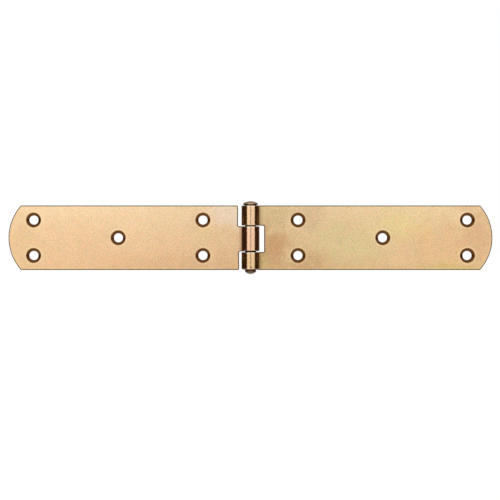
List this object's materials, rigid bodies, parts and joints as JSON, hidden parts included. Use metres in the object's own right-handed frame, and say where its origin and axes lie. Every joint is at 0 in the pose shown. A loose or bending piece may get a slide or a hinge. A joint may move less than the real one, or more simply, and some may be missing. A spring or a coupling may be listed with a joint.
{
  "type": "strap hinge",
  "caption": "Strap hinge of yellow-plated sheet steel: long leaves with round tips and countersunk screw holes, rolled knuckles and a headed pin.",
  "frame": {"origin": "on the pin's axis, at the middle of the leaves' 40 mm width", "axes": "+X from the pin's axis towards the frame leaf's tip, +Y towards the faces that rest on the door and the frame, +Z along the pin towards its head"},
  "size_m": [0.3, 0.011, 0.045],
  "materials": {
    "door_leaf_plating": "satin yellow zinc plating, peach gold",
    "frame_leaf_plating": "satin yellow zinc plating, mottled gold and olive",
    "pin_plating": "satin yellow zinc plating, bronze gold"
  },
  "bodies": {
    "frame_side": {"frame_leaf": "frame_leaf_plating", "hinge_pin": "pin_plating"},
    "door_side": {"door_leaf": "door_leaf_plating"}
  },
  "joints": [
    {"name": "leaf_swing", "type": "hinge", "parent": "frame_side", "child": "door_side", "pos_m": [0, 0, 0], "axis": [0, 0, 1], "range_deg": [-104, 182]}
  ]
}
